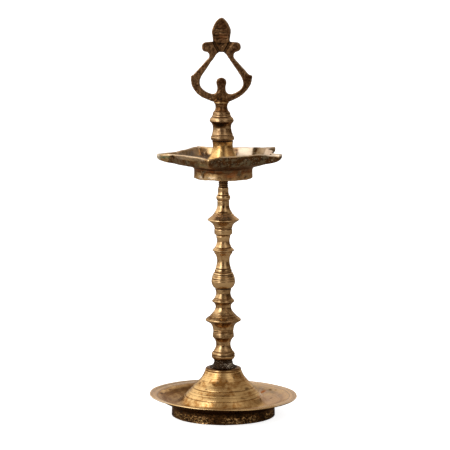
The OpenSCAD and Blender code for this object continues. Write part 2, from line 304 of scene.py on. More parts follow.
def leather_material():
    """Oiled leather washer: dark grain, rubbed along its rim."""
    material, tree, inputs, place = new_material("leather_washer_look")
    grain = add(tree, "ShaderNodeTexVoronoi",
                {"Vector": place, "Scale": 1 / (0.7 * MM)}).outputs[0]
    tone = blotches(tree, place, 3 * MM, 4, 0.6)
    base = blend(tree, band(tree, tone, 0.35, 0.7), colour(0.030, 0.016, 0.009),
                 colour(0.085, 0.045, 0.022))
    feed(tree, inputs, {"Base Color": base, "Roughness": band(tree, tone, 0.3, 0.7, 0.45, 0.7),
                        "Normal": bumps(tree, grain, 0.5, 0.1 * MM)})
    return material


def floor_material():
    """Pale studio sweep with a faint unevenness, lit up to white where the camera sees it. Its
    warmer tint is what lights the lamp from below."""
    material, tree, inputs, place = new_material("floor_look")
    tone = blotches(tree, place, 0.4, 3)
    seen = add(tree, "ShaderNodeLightPath", {}).outputs["Is Camera Ray"]
    pale = blend(tree, tone, colour(0.88, 0.88, 0.88), colour(0.92, 0.92, 0.92))
    feed(tree, inputs, {"Base Color": blend(tree, seen, colour(0.42, 0.36, 0.29), pale),
                        "Roughness": 0.8, "Emission Color": colour(1.0, 1.0, 1.0),
                        "Emission Strength": math_node(tree, "MULTIPLY", seen, 0.8)})
    return material


# The brasses: colours of clean metal, tarnish and dark film, the levels at which tarnish and
# film set in, the least roughness, and what is special about them
BRASSES = {
    "cast": ((0.74, 0.51, 0.24), (0.33, 0.14, 0.025), (0.045, 0.019, 0.006), 0.86, 0.34, 0.13, {}),
    "turned": ((0.69, 0.48, 0.255), (0.245, 0.11, 0.032), (0.045, 0.018, 0.005), 0.86, 0.28, 0.07,
               {}),
    "neck": ((0.52, 0.35, 0.19), (0.13, 0.054, 0.017), (0.028, 0.013, 0.005), 0.72, 0.24, 0.11,
             {}),
    "bright": ((0.75, 0.51, 0.22), (0.36, 0.155, 0.03), (0.05, 0.02, 0.006), 0.86, 0.36, 0.12,
               {"streaks": 0.25}),
    "patina": ((0.64, 0.43, 0.21), (0.24, 0.1, 0.026), (0.032, 0.014, 0.005), 0.80, 0.30, 0.18,
               {"turned": 0.3, "grime": 0.12, "bloom": 0.4}),
    "dark": ((0.25, 0.14, 0.066), (0.065, 0.025, 0.009), (0.012, 0.006, 0.003), 0.58, 0.30, 0.22,
             {"turned": 0.0}),
}
LOOKS = {name: aged_brass(name, *row[:-1], **row[-1]) for name, row in BRASSES.items()}
LOOKS["lac"] = lac_material()
LOOKS["leather"] = leather_material()


# ---- Mesh helpers ----

def lumps(points, size, depth, seed=0.0):
    """A random height at each point, with lumps of that size, up to about that depth."""
    shift = Vector((seed, 1.7 * seed, 0.3 * seed))
    return depth * np.array([noise.fractal(Vector(p) / size + shift, 1.0, 2.0, 3)
                             for p in points])


def vectors(data, name):
    """That attribute of a mesh's vertices or normals, one vector to a row."""
    flat = np.empty(len(data) * 3)
    data.foreach_get(name, flat)
    return flat.reshape(-1, 3)


def off_axis(p):
    """Distance of each point from the axis, in mm."""
    return np.hypot(p[:, 0], p[:, 1]) / MM


def round_axis(r, turn, z):
    """Points at those distances from the axis, angles and heights, one to a row."""
    return np.stack([r * np.cos(turn), r * np.sin(turn), z], -1).reshape(-1, 3)


def smoothstep(low, high, value):
    t = np.clip((value - low) / (high - low), 0, 1)
    return t * t * (3 - 2 * t)


def bump_between(value, low, high):
    """1 between low and high, falling straight to 0 over a quarter of that width outside."""
    soft = (high - low) * 0.25
    return np.clip((value - low) / soft + 1, 0, 1) * np.clip((high - value) / soft + 1, 0, 1)


def bell(*offsets):
    """1 where every offset is 0, falling off smoothly around it."""
    return np.exp(-sum(offset ** 2 for offset in offsets))


def neighbour_mean(values, ends, count):
    """The mean of each vertex's neighbours."""
    total = np.zeros_like(values)
    for axis in range(values.shape[1]):
        total[:, axis] = (np.bincount(ends[:, 0], values[ends[:, 1], axis], len(values))
                          + np.bincount(ends[:, 1], values[ends[:, 0], axis], len(values)))
    return total / count[:, None]


def relief(mesh, rounds, full):
    """How far each vertex stands proud of (above 0) or lies below (under 0) the surface that
    is smoothed over that many rounds, as a part of full, limited to -1..1."""
    co = vectors(mesh.vertices, "co")
    ends = np.empty(len(mesh.edges) * 2, int)
    mesh.edges.foreach_get("vertices", ends)
    ends = ends.reshape(-1, 2)
    count = np.maximum(np.bincount(ends.ravel(), minlength=len(co)), 1)
    smooth = co.copy()
    for _ in range(rounds):
        smooth = neighbour_mean(smooth, ends, count)
    normal = vectors(mesh.vertex_normals, "vector")
    return np.clip(((co - smooth) * normal).sum(1) / full, -1, 1)


def painted_light_and_stain_amounts(p, soot_and_shade=0.0, green=0.0, red=0.0, pale=0.0):
    """The attribute of stains and of painted light and shade: how much of each tint lies on each
    vertex.
    """
    made = [np.broadcast_to(value, len(p)) for value in (soot_and_shade, green, red, pale)]
    return np.clip(np.stack(made, 1), 0, 1)


def no_stain(p, up):
    return painted_light_and_stain_amounts(p)


def piece(name, verts, faces, body, look, replaced, stain_and_painted_light=no_stain):
    """A finished piece from its vertices and faces, with the attributes its material reads."""
    mesh = bpy.data.meshes.new(name)
    mesh.from_pydata(np.asarray(verts).tolist(), [], faces)
    mesh.validate()
    tidy = bmesh.new()
    tidy.from_mesh(mesh)
    bmesh.ops.recalc_face_normals(tidy, faces=tidy.faces)
    tidy.to_mesh(mesh)
    tidy.free()
    finish_piece(name, mesh, body, look, replaced, stain_and_painted_light)


def finish_piece(name, mesh, body, look, replaced, stain_and_painted_light):
    """Gives the mesh the attributes its material reads, and puts it on its body."""
    mesh.shade_smooth()
    mesh.update()
    co = vectors(mesh.vertices, "co")
    # the dish's mesh is coarser than the turned ones
    near, far = (2, 8) if look == "patina" else (8, 60)
    fine, broad = relief(mesh, near, 0.22 * MM), relief(mesh, far, 0.9 * MM)
    if look == "dark":
        # the loop's open foot isn't a hollow
        fine, broad = fine * smoothstep(294.5, 297.5, co[:, 2] / MM), 0 * broad
    if look == "cast":
        # the fillet at the dome's foot is rubbed clean
        fillet = bump_between(off_axis(co), 38, 50) * (co[:, 2] > 10 * MM)
        fine, broad = fine * (1 - 0.8 * fillet), np.where(fillet > 0, 0.1 * broad, broad)
    mesh.attributes.new("fine", "FLOAT", "POINT").data.foreach_set("value", fine)
    mesh.attributes.new("broad", "FLOAT", "POINT").data.foreach_set("value", broad)
    rgba = stain_and_painted_light(co, vectors(mesh.vertex_normals, "vector")[:, 2])
    mesh.attributes.new("stain_and_painted_light", "FLOAT_COLOR", "POINT").data.foreach_set("color", rgba.ravel())
    mesh.materials.append(LOOKS[look])
    made = bpy.data.objects.new(name, mesh)
    bpy.context.scene.collection.objects.link(made)
    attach(made, body)
    if replaced:
        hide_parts(*replaced)


# ---- Turned pieces ----

def lean(p):
    """The boss and the finial lean a little to the left, from the dish up; what lies on the
    thread stays on the axis."""
    z = p[:, 2] / MM
    free = np.maximum(smoothstep(5.3, 7.0, off_axis(p)), smoothstep(262, 268, z))
    p[:, 0] -= 1.7 * MM * smoothstep(236, 290, z) * free * (z > 236.7)
    return p


def seam_outline(node):
    """The turned outline of a CAD node as (r, z) points in order, and whether it is closed.
    It is read along the seam at y = 0; an open outline starts and ends on the axis."""
    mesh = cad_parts[node].data
    near = 2e-6
    key = {v.index: (round(v.co.x * 1e6), round(v.co.z * 1e6)) for v in mesh.vertices
           if abs(v.co.y) < near and v.co.x > near}
    links = {k: set() for k in key.values()}
    for edge in mesh.edges:
        a, b = (key.get(i) for i in edge.vertices)
        if a and b and a != b:
            links[a].add(b)
            links[b].add(a)
    chains = []
    left = set(links)
    while left:
        start = next((k for k in sorted(left) if len(links[k] & left) < 2), min(left))
        chain = [start]
        left.discard(start)
        while True:
            onward = sorted(links[chain[-1]] & left)
            if not onward:
                break
            chain.append(onward[0])
            left.discard(onward[0])
        chains.append([np.array(k) * 1e-6 for k in chain])
    # flat faces have no edge along the seam, so the chains are joined end to end
    while len(chains) > 1:
        best = min(((np.linalg.norm(a[i] - b[j]), m, n, i, j)
                    for m, a in enumerate(chains) for n, b in enumerate(chains) if m < n
                    for i in (0, -1) for j in (0, -1)), key=lambda t: t[0])
        _, m, n, i, j = best
        a, b = chains[m], chains[n]
        a = a if i == -1 else a[::-1]
        b = b if j == 0 else b[::-1]
        chains = [c for k, c in enumerate(chains) if k not in (m, n)] + [a + b]
    outline = np.array(chains[0])
    solid = node in ("stem_lower", "stem_upper", "finial_neck")
    if solid:
        caps = [np.array([[0.0, outline[k][1]]]) for k in (0, -1)]
        outline = np.vstack([caps[0], outline, caps[1]])
    return outline, not solid


def soften(outline, closed, radius):
    """The outline with its corners rounded."""
    made = []
    n = len(outline)
    for i, p in enumerate(outline):
        if not closed and i in (0, n - 1):
            made.append(p)
            continue
        back, on = outline[i - 1] - p, outline[(i + 1) % n] - p
        lb, lo = np.linalg.norm(back), np.linalg.norm(on)
        turn = 1 + np.dot(back, on) / (lb * lo)
        reach_back, reach_on = min(radius, 0.4 * lb), min(radius, 0.4 * lo)
        if turn < 0.06:
            made.append(p)
            continue
        a, b = p + back / lb * reach_back, p + on / lo * reach_on
        made += [(1 - t) ** 2 * a + 2 * t * (1 - t) * p + t * t * b
                 for t in (0, 0.25, 0.5, 0.75, 1)]
    return np.array(made)


def subdivide(outline, closed, step, thread):
    """The outline with points no further apart than step, and closer on a thread."""
    made = [outline[0]]
    following = list(outline[1:]) + ([outline[0]] if closed else [])
    for b in following:
        a = made[-1]
        length = np.linalg.norm(b - a)
        threaded = thread and abs(a[0] - thread["radius"]) < 1e-5 and abs(b[0] - a[0]) < 1e-5
        parts = max(1, math.ceil(length / (thread["pitch"] / 8 if threaded else step)))
        made += [a + (b - a) * k / parts for k in range(1, parts + 1)]
    return np.array(made[:-1] if closed else made)


def outward(outline, closed):
    """Unit normals of the outline that point out of the solid."""
    if closed:
        along = np.roll(outline, -1, 0) - np.roll(outline, 1, 0)
    else:
        along = np.gradient(outline, axis=0)
    across = np.stack([along[:, 1], -along[:, 0]], 1)
    across /= np.maximum(np.linalg.norm(across, axis=1), 1e-12)[:, None]
    r, z = outline[:, 0], outline[:, 1]
    area = 0.5 * np.sum(r * np.roll(z, -1) - z * np.roll(r, -1))
    return across if area > 0 else -across


def turned(name, node, body, slot, look, around=112, step=0.36, corner=0.22, thread=None,
           wear=0.05, wear_size=6, shape=None, stain_and_painted_light=no_stain, seed=1.0):
    """A turned piece on its CAD node's outline, with rounded corners, wear and a real thread.
    shape gives extra distances out of the surface and upwards, from r, z, angle and normals."""
    step, corner, wear, wear_size = (size * MM for size in (step, corner, wear, wear_size))
    outline, closed = seam_outline(node)
    outline = subdivide(soften(outline, closed, corner), closed, step, thread)
    angle = np.linspace(0, 2 * math.pi, around, endpoint=False)
    r, z, nr, nz = (np.repeat(column[:, None], around, 1)
                    for column in (*outline.T, *outward(outline, closed).T))
    turn = np.repeat(angle[None, :], len(outline), 0)
    out = lumps(round_axis(r, turn, z), wear_size, wear, seed).reshape(r.shape) - 0.5 * wear
    up = np.zeros_like(r)
    if shape:
        more, up = shape(r, z, turn, nr, nz)
        out = out + more
    if thread:
        on_thread = abs(r - thread["radius"]) < 0.02 * MM
        phase = (z / thread["pitch"] - turn / (2 * math.pi)) % 1.0
        cut = np.clip(1.25 - 2.5 * abs(phase - 0.5), 0, 1)
        out = np.where(on_thread, -0.03 * MM - thread["depth"] * cut, out)
    out = np.where(r < 1e-9, 0, out)
    verts = lean(round_axis(np.maximum(r + nr * out, 0), turn, z + nz * out + up))
    verts[:, 2] = np.maximum(verts[:, 2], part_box(node)[0].z)

    rings = len(outline)
    index = np.arange(rings * around).reshape(rings, around)
    faces = []
    for i in range(rings if closed else rings - 1):
        a, b = index[i], index[(i + 1) % rings]
        a_on, b_on = np.roll(a, -1), np.roll(b, -1)
        if not closed and i == 0:
            faces += [(a[0], q, p) for p, q in zip(b, b_on)]
        elif not closed and i == rings - 2:
            faces += [(p, q, b[0]) for p, q in zip(a, a_on)]
        else:
            faces += zip(a, a_on, b_on, b)
    # an open outline's ends lie on the axis, where one vertex is kept of each ring
    keep = np.ones(len(verts), bool)
    if not closed:
        keep[index[[0, -1], 1:]] = False
    renumber = np.cumsum(keep) - 1
    faces = [tuple(int(renumber[i]) for i in f) for f in faces]
    piece(name, verts[keep], faces, body, look, [node], stain_and_painted_light)


def azimuth(p):
    """Direction of each point from the axis."""
    return np.degrees(np.arctan2(p[:, 0], -p[:, 1]))


def from_direction(p, at):
    """Angle of each point past that direction, in radians."""
    return np.radians((azimuth(p) - at + 180) % 360 - 180)


def patch(p, at, height, wide, tall):
    """A soft spot on the surface, with its direction, height, width and tallness."""
    return bell(from_direction(p, at) * off_axis(p) / wide, (p[:, 2] / MM - height) / tall)


def spot(p, at, radius, wide, deep):
    """A soft spot seen from above, with its direction, radius, width and depth."""
    return bell(from_direction(p, at) * radius / wide, (off_axis(p) - radius) / deep)


def spots(p, rows, kind=patch):
    """Soft spots, one for each row of an amount and then what that kind takes."""
    return [much * kind(p, *where) for much, *where in rows]


def most(*amounts):
    """The greatest amount at each point."""
    return reduce(np.maximum, amounts)


def base_shape(r, z, turn, nr, nz):
    """Fine incised lines on the rim and dome, a hand-made waver in the rim, and the cast
    roughness of the foot ring."""
    out = np.zeros_like(r)
    for radius, depth in BASE_LINES:
        line = depth * MM * bell((r / MM - radius) / BASE_LINE_WIDTH)
        out -= np.where(nz > 0.05, line, 0)
    # the plate sits askew: higher at the left, most at its back
    askew = (0.9 * np.clip(np.cos(turn - math.radians(150)), 0, 1) ** 2
             - 0.014 * r / MM * np.cos(turn))
    up = smoothstep(56, 69, r / MM) * (0.30 * np.sin(2 * turn + 0.7)
                                       + 0.18 * np.sin(3 * turn + 2.0)
                                       + 0.10 * np.sin(7 * turn) + askew) * MM
    foot = (z < 10 * MM) & (r > 44 * MM) & (z > 0.2 * MM)
    grain = lumps(round_axis(r, turn, z), 1.8 * MM, 0.22 * MM, 5.0).reshape(r.shape) - 0.15 * MM
    out += np.where(foot & (abs(nz) < 0.6), grain, 0)
    # the rim's edge is nicked, and the foot doesn't quite touch down at the left
    edge = smoothstep(65.5, 68, r / MM) * (abs(nz) < 0.9)
    out -= edge * (0.16 + 0.10 * np.sin(9 * turn + 1.0) + 0.06 * np.sin(17 * turn)) * MM
    left = np.clip(-np.cos(turn), 0, 1) ** 2
    up = up + np.where(r > 44 * MM, 0.4 * MM * left * smoothstep(8 * MM, 0, z), 0)
    return out, up


# Stains of the base: brown blots and lines on the dome, then what lies in the drip plate's well,
# and between which directions the foot is worn
DOME_BLOTS = (
    (0.30, -15, 34.2, 2.2, 1.6), (0.28, -23, 32.1, 2.6, 1.2), (0.36, -58, 33.8, 2.4, 1.0),
    (0.34, -67, 31.4, 3.0, 1.2), (0.30, 10, 35.5, 1.6, 1.2), (0.32, -35, 28.1, 2.0, 1.0),
    (0.36, 52, 27.8, 4.0, 1.6), (0.40, 21, 27.0, 7.0, 0.6), (0.34, 1, 23.9, 9.0, 0.5),
    (0.32, 34, 20.9, 8.0, 0.5), (0.34, 31, 37.6, 1.2, 2.2))
WELL_BLOTS = (
    (0.55, -99, 58.6, 3.5, 1.6), (0.45, -106, 56.8, 5.0, 1.0), (0.34, -120, 58.0, 3.0, 1.6),
    (0.40, 127, 56.1, 3.0, 1.2), (0.36, 120, 57.5, 2.0, 1.0), (0.45, 106, 46.9, 1.6, 1.6),
    (0.30, 68, 37.0, 3.0, 1.6))
WELL_RED = ((0.9, 133, 51.6, 2.4, 3.2), (0.6, 68, 35.6, 3.0, 2.0), (0.5, 106, 46.9, 2.0, 1.6))
FOOT_WORN = ((-66, -20), (2, 38), (56, 72))


def base_stain_and_painted_light(p, up):
    r, z, turn = off_axis(p), p[:, 2] / MM, azimuth(p)
    foot = smoothstep(45, 47, r) * smoothstep(11.5, 9.5, z)
    worn = sum(bump_between(turn, *between) * bump_between(z, 0.8, 6.5) for between in FOOT_WORN)
    grains = smoothstep(0.35, 0.75, 0.5 + lumps(p, 1.1 * MM, 1.0, 31.0))
    dome = (r < 46) & (z > 14)
    well = (up > 0.3) & (r > 34)
    # black-brown foot with grains of worn brass, painted shade on the faces turned down under the
    # plate, dark top under the packing, and painted shade over the left of the well
    soot_and_shade = most(foot * (0.80 - 0.25 * grains - 0.55 * np.clip(worn, 0, 1) * grains),
                # painted shade: the faces turned down, under the plate, are darkened
                0.60 * smoothstep(-0.1, -0.5, up) * (r > 44),
                0.40 * smoothstep(42.6, 44.8, z) * (r < 20),
                dome * most(*spots(p, DOME_BLOTS)), well * most(*spots(p, WELL_BLOTS, spot)),
                # painted shade over the left of the well, which faces away from the lamp
                0.24 * well * (r < 57) * bump_between(turn, -175, -95))
    red = well * sum(spots(p, WELL_RED, spot))
    green = 0.25 * well * spot(p, 127, 55.0, 4.0, 1.6)
    # a pale haze over the plate and round the rim, and painted light over the right of the well,
    # which faces the lamp at the left
    pale = most(well * (0.42 * bump_between(turn, 80, 170) + 0.45 * spot(p, 88, 34.6, 2.0, 1.6)),
                0.46 * well * smoothstep(60, 62.5, r) * (abs(turn) > 45),
                0.20 * well * (r > 46))
    return painted_light_and_stain_amounts(p, soot_and_shade, green, red, pale)


def stem_lower_stain(p, up):
    z = p[:, 2] / MM
    handled = np.clip(0.5 + 0.5 * lumps(p, 9.0 * MM, 1.6, 61.0), 0, 1)
    soot_and_shade = most(0.35 * smoothstep(54.2, 53.0, z) + 0.45 * patch(p, 20, 60, 1.0, 1.0),
                0.16 + 0.12 * handled, groove_soot(p, LOWER_GROOVES),
                0.18 * bump_between(z, 88.0, 94.0))
    red = sum(spots(p, ((0.4, 28, 91, 3, 2.5), (0.3, -28, 86, 4, 1.5))))
    return painted_light_and_stain_amounts(p, soot_and_shade, red=red)


def stem_upper_stain_and_painted_shade(p, up):
    z = p[:, 2] / MM
    # the flange's top has lost its shine
    dull = bump_between(z, 185.5, 189.5)
    soot_and_shade = most(0.30 * smoothstep(210, 219, z), 0.18 * bump_between(z, 178.0, 183.0),
                # painted reflection: the spots at 3 and 6 degrees, straight at the front, are the
                # dark strip down the middle of the flange and the cone
                *spots(p, ((0.70, 3, 196.5, 1.0, 1.4), (0.4, 5, 137.0, 3, 1.0),
                           (0.30, 6, 200, 0.8, 9))), groove_soot(p, UPPER_GROOVES))
    red = sum(spots(p, ((0.30, 28, 128, 3, 3), (0.2, 30, 181, 4, 2))))
    return painted_light_and_stain_amounts(p, soot_and_shade * (1 - 0.7 * dull), red=red + 0.28 * dull, pale=0.24 * dull)


def neck_stain(p, up):
    z = p[:, 2] / MM
    soot_and_shade = most(0.35 * bump_between(z, 272.6, 275.2),
                *spots(p, ((1.0, -22, 272.2, 6.5, 2.4), (0.5, 55, 272.5, 5, 2))),
                0.22 * smoothstep(281, 284, z) * smoothstep(292, 288, z),
                groove_soot(p, NECK_GROOVES))
    return painted_light_and_stain_amounts(p, soot_and_shade, green=0.40 * patch(p, -44, 270.0, 3, 2))


def boss_stain_and_painted_shade(p, up):
    z = p[:, 2] / MM
    soot_and_shade = 0.5 * smoothstep(239.5, 237, z) + 0.4 * smoothstep(255.8, 257.2, z)
    # painted reflection: a tall dark strip straight at the front, down the middle of the cone
    soot_and_shade = soot_and_shade + 0.25 * patch(p, 2, 247, 1.8, 9)
    return painted_light_and_stain_amounts(p, soot_and_shade, red=0.45 * patch(p, 38, 246, 4, 6))


def incised(grooves):
    """A shape with fine turned grooves."""
    def shape(r, z, turn, nr, nz):
        out = np.zeros_like(r)
        for height, depth in grooves:
            out -= (depth * MM * bell((z / MM - height) / GROOVE_WIDTH)
                    * (r > BARE_THREAD_R * MM))
        return out, np.zeros_like(r)
    return shape


def groove_soot(p, grooves):
    """Dark film in the grooves, broken here and there."""
    z, turn = p[:, 2] / MM, np.radians(azimuth(p))
    much = np.zeros(len(p))
    for height, depth in grooves:
        whole = 0.8 + 0.2 * np.sin(2 * turn + height) + 0.15 * np.sin(5 * turn + 3 * height)
        much = np.maximum(much, 2.4 * depth * whole * bell((z - height) / GROOVE_WIDTH))
    return much * (off_axis(p) > BARE_THREAD_R)


def lac_stain(p, up):
    """Pale grit, most at the lower right."""
    return painted_light_and_stain_amounts(p, pale=patch(p, 42, 48, 6, 3.0))


def lac_shape(r, z, turn, nr, nz):
    """A lumpy skin that thins out over the dome's top."""
    rough = lumps(round_axis(r, turn, z), 2.6 * MM, 0.55 * MM, 9.0).reshape(r.shape)
    free = smoothstep(6.9, 7.6, r / MM) * (nr > -0.5)
    return rough * free - 0.1 * MM * free, np.zeros_like(r)


def make_turned_pieces():
    leather = dict(around=96, step=0.3, corner=0.12, wear=0.06, wear_size=2)
    turned("base_casting", "base", "base", "cast_brass", "cast", around=288, step=0.6,
           corner=0.35, wear=0.10, wear_size=14, shape=base_shape, stain_and_painted_light=base_stain_and_painted_light, seed=2.0)
    turned("dome_packing", "base_packing", "base_packing_ring", "lac_packing", "lac", around=96,
           step=0.4, shape=lac_shape, wear=0.1, wear_size=2, stain_and_painted_light=lac_stain)
    turned("lower_stem_turning", "stem_lower", "lower_stem", "turned_brass", "turned", step=0.26,
           thread=TENON, shape=incised(LOWER_GROOVES), stain_and_painted_light=stem_lower_stain, seed=3.0)
    turned("stem_joint_washer", "stem_washer", "stem_washer_ring", "leather_washer", "leather",
           **leather)
    turned("upper_stem_turning", "stem_upper", "upper_stem", "turned_brass", "turned", step=0.26,
           thread=STUD, shape=incised(UPPER_GROOVES), stain_and_painted_light=stem_upper_stain_and_painted_shade, seed=4.0)
    turned("dish_hub_packing", "dish_packing", "dish_packing_ring", "lac_packing", "lac",
           around=96, step=0.4, corner=0.3, wear=0.15, wear_size=2)
    turned("boss_washer", "boss_gasket", "boss_gasket_ring", "leather_washer", "leather",
           around=128, step=0.4, corner=0.2, wear=0.08, wear_size=3)
    turned("boss_turning", "boss_cone", "boss", "bright_brass", "bright", corner=0.3, wear=0.12,
           wear_size=5, stain_and_painted_light=boss_stain_and_painted_shade, seed=6.0)
    turned("finial_joint_washer", "finial_washer", "finial_washer_ring", "leather_washer",
           "leather", **leather)
    turned("finial_neck_turning", "finial_neck", "finial", "turned_brass", "neck", step=0.26,
           thread=STUD, shape=incised(NECK_GROOVES), stain_and_painted_light=neck_stain, seed=7.0)


# ---- Oil dish ----

def bezier(a, guide, b, n):
    """n points on the curve from a to b that bends towards the guide."""
    t = np.linspace(0, 1, n)[:, None]
    return (1 - t) ** 2 * np.array(a) + 2 * t * (1 - t) * np.array(guide) + t * t * np.array(b)


def dish_plan():
    """The rim's outer outline, anticlockwise: five pinched spouts joined by arcs of the rim."""
    spread = math.radians(SPOUT_SPREAD)
    centre = SPOUT_R - SPOUT_TIP_R
    root = (RIM_R * math.cos(spread), RIM_R * math.sin(spread))
    flank = bezier(root, (RIM_R + 0.2 * MM, SPOUT_SIDE), (centre, SPOUT_TIP_R), 16)
    over = np.linspace(math.pi / 2, -math.pi / 2, 11)[1:-1]
    tip = np.stack([centre + SPOUT_TIP_R * np.cos(over), SPOUT_TIP_R * np.sin(over)], 1)
    spout = np.vstack([flank, tip, (flank * [1, -1])[::-1]])[::-1]
    points = []
    for k, at in enumerate(SPOUTS):
        a = math.radians(at)
        turn = np.array([[math.cos(a), math.sin(a)], [-math.sin(a), math.cos(a)]])
        points.append(spout @ turn)
        following = SPOUTS[(k + 1) % len(SPOUTS)] + (360 if k + 1 == len(SPOUTS) else 0)
        arc = np.linspace(a + spread, math.radians(following) - spread, 20)[1:-1]
        points.append(RIM_R * np.stack([np.cos(arc), np.sin(arc)], 1))
    return np.vstack(points)


def through(knots, parts):
    """Points on a smooth curve through the knots, an array of rows, parts for each stretch."""
    ends = np.vstack([2 * knots[0] - knots[1], knots, 2 * knots[-1] - knots[-2]])
    made = [knots[0]]
    for k in range(1, len(ends) - 2):
        a, b, c, d = ends[k - 1], ends[k], ends[k + 1], ends[k + 2]
        for t in np.linspace(0, 1, parts + 1)[1:]:
            made.append(0.5 * (2 * b + (c - a) * t + (2 * a - 5 * b + 4 * c - d) * t * t
                               + (3 * b - a - 3 * c + d) * t ** 3))
    return np.array(made)


# The dish's sections from the inner circle to the rim: part of the way out and depth below the
# rim, first for the bowl and then for a spout
UNDER_SIDE = (
    (0.00, 12.7, 0.00, 12.7), (0.38, 11.1, 0.38, 10.6), (0.70, 10.2, 0.68, 8.7),
    (0.83, 7.9, 0.86, 6.9), (0.93, 3.9, 0.97, 4.6), (1.00, 1.0, 1.00, 2.4))
INSIDE = (
    (1.00, 0.9, 1.00, 0.9), (0.955, 3.4, 0.96, 2.2), (0.88, 6.4, 0.85, 4.4),
    (0.77, 8.6, 0.68, 7.0), (0.50, 9.9, 0.40, 9.2), (0.00, 10.5, 0.00, 10.5))
UNDER_CIRCLE = 30 * MM
FLOOR_CIRCLE = 20 * MM
WALL, SPOUT_WALL = 2.5, 1.35

# Its round middle, as radius and height: hub, hollow and the collar's inner side, then the
# collar's outer side, then the floor of the bowl and the bore
BORE_R, HUB_Z, CEILING_Z, FLOOR_Z = 4.81, 227.5, 230.5, 235.6
HOLLOW = (
    (BORE_R, HUB_Z), (6.5, HUB_Z), (8.7, HUB_Z), (9.0, HUB_Z + 0.3), (9.0, 229.0),
    (9.2, CEILING_Z - 0.2), (10.5, CEILING_Z), (14, CEILING_Z), (19, CEILING_Z), (23.0, CEILING_Z),
    (24.2, CEILING_Z - 0.5), (24.4, 228.5), (24.4, 226), (24.4, 224))
COLLAR = (
    (27.2, 223.8), (27.1, 225.2), (27.05, 226.6), (27.0, 228.0), (27.0, 229.4), (27.05, 230.6),
    (27.5, 231.8), (28.5, 232.8))
BOWL_FLOOR = (
    (16, FLOOR_Z), (12, FLOOR_Z), (8, FLOOR_Z), (5.2, FLOOR_Z), (BORE_R, FLOOR_Z - 0.4),
    (BORE_R, 233), (BORE_R, 230))

# Where the rim droops or stands up: how much, then x and y, each with its spread. They are the
# front spout, the near flank of the right spout, and the rim beside the back left spout.
SWELLS = ((-2.4, -17, 9, -50, 11), (-2.3, 43, 7, -34.5, 4.5), (1.7, -30, 6, 38, 8))


def section(rows, toward):
    """Part of the way out, and depth below the rim, at each level for each spoke, blended
    from the bowl's section to a spout's."""
    knots = through(np.array(rows, float), 3)
    part = knots[:, 0:1] * (1 - toward) + knots[:, 2:3] * toward
    depth = knots[:, 1:2] * (1 - toward) + knots[:, 3:4] * toward
    return part, depth * MM


def warp(p):
    """How far the casting's rim is off level: it lifts to the right and to the back, and has
    its swells."""
    x, y = p[:, 0] / MM, p[:, 1] / MM
    made = 0.016 * x + 0.008 * np.maximum(y, 0) + 0.9
    for lift, at_x, wide, at_y, deep in SWELLS:
        made += lift * bell((x - at_x) / wide, (y - at_y) / deep)
    return smoothstep(19, 48, np.hypot(x, y)) * made * MM


def make_dish():
    low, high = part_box("oil_dish")
    outer = dish_plan()
    along = np.roll(outer, -1, 0) - np.roll(outer, 1, 0)
    inward = np.stack([-along[:, 1], along[:, 0]], 1)
    inward /= np.linalg.norm(inward, axis=1)[:, None]
    reach = np.hypot(outer[:, 0], outer[:, 1])
    toward = smoothstep(0, 1, (reach - RIM_R) / (SPOUT_R - RIM_R))
    inner = outer + inward * ((WALL * (1 - toward) + SPOUT_WALL * toward) * MM)[:, None]
    way = outer / reach[:, None]
    levels = []

    def level(plan, height):
        levels.append(np.column_stack([plan, np.broadcast_to(height, len(plan))]))

    def circles(rows):
        for r, z in rows:
            level(way * r * MM, z * MM)

    def sections(rows, circle, rim):
        start = way * circle
        for part, depth in zip(*section(rows, toward[None, :])):
            level(start + (rim - start) * part[:, None], high.z - depth)

    foot = low.z / MM
    circles(HOLLOW)
    circles(((24.5, foot + 0.5), (24.9, foot), (25.8, foot), (26.7, foot), (27.15, foot + 0.4)))
    circles(COLLAR)
    sections(UNDER_SIDE, UNDER_CIRCLE, outer)
    # rounded lip
    for k in range(1, 6):
        a, mid = math.pi * k / 6, (outer + inner) / 2
        level(mid + (outer - mid) * math.cos(a), high.z - (1 - math.sin(a)) * MM)
    sections(INSIDE, FLOOR_CIRCLE, inner)
    circles(BOWL_FLOOR)

    verts = np.vstack(levels)
    spokes, rows = len(outer), len(levels)
    verts[:, 2] += warp(verts)
    dents = lumps(verts, 16 * MM, 0.55 * MM, 11.0) + lumps(verts, 4 * MM, 0.16 * MM, 12.0)
    verts[:, 2] += dents * smoothstep(17.5, 22, off_axis(verts))
    faces = []
    for i in range(rows):
        a, b = i * spokes, (i + 1) % rows * spokes
        for j in range(spokes):
            on = (j + 1) % spokes
            faces.append((a + j, a + on, b + on, b + j))
    piece("oil_dish_casting", verts, faces, "dish", "patina", ["oil_dish"],
          dish_stain_and_painted_light)


# Stains of the dish's wall and spouts, of its collar, with a painted highlight at its lower left,
# and inside in the roots of the spouts
WALL_GREEN = (
    (0.95, -35, 240.1, 3.4, 1.6), (0.5, 9, 240.0, 2.4, 1.2), (0.40, -25, 238.5, 9, 1.6),
    (0.55, -81, 243.0, 4, 2.0), (0.30, 30, 239.0, 8, 1.2))
WALL_PALE = (
    (0.8, -22, 244.4, 3.4, 0.9), (0.7, 43, 243.4, 1.5, 1.0), (0.6, 31, 242.4, 1.3, 0.8),
    (0.5, -62, 243.0, 8, 0.9))
COLLAR_SOOT = (
    (0.75, -44, 230.6, 4.0, 1.4), (0.8, -42, 226.2, 0.9, 1.6), (0.6, -45, 227.8, 2.0, 0.6),
    (0.55, 33, 228.6, 2.6, 1.6), (0.45, 48, 225.5, 1.6, 1.6), (0.5, 95, 226, 5, 3),
    (0.4, -70, 228.5, 3, 3), (0.4, 10, 224.4, 8, 0.8))
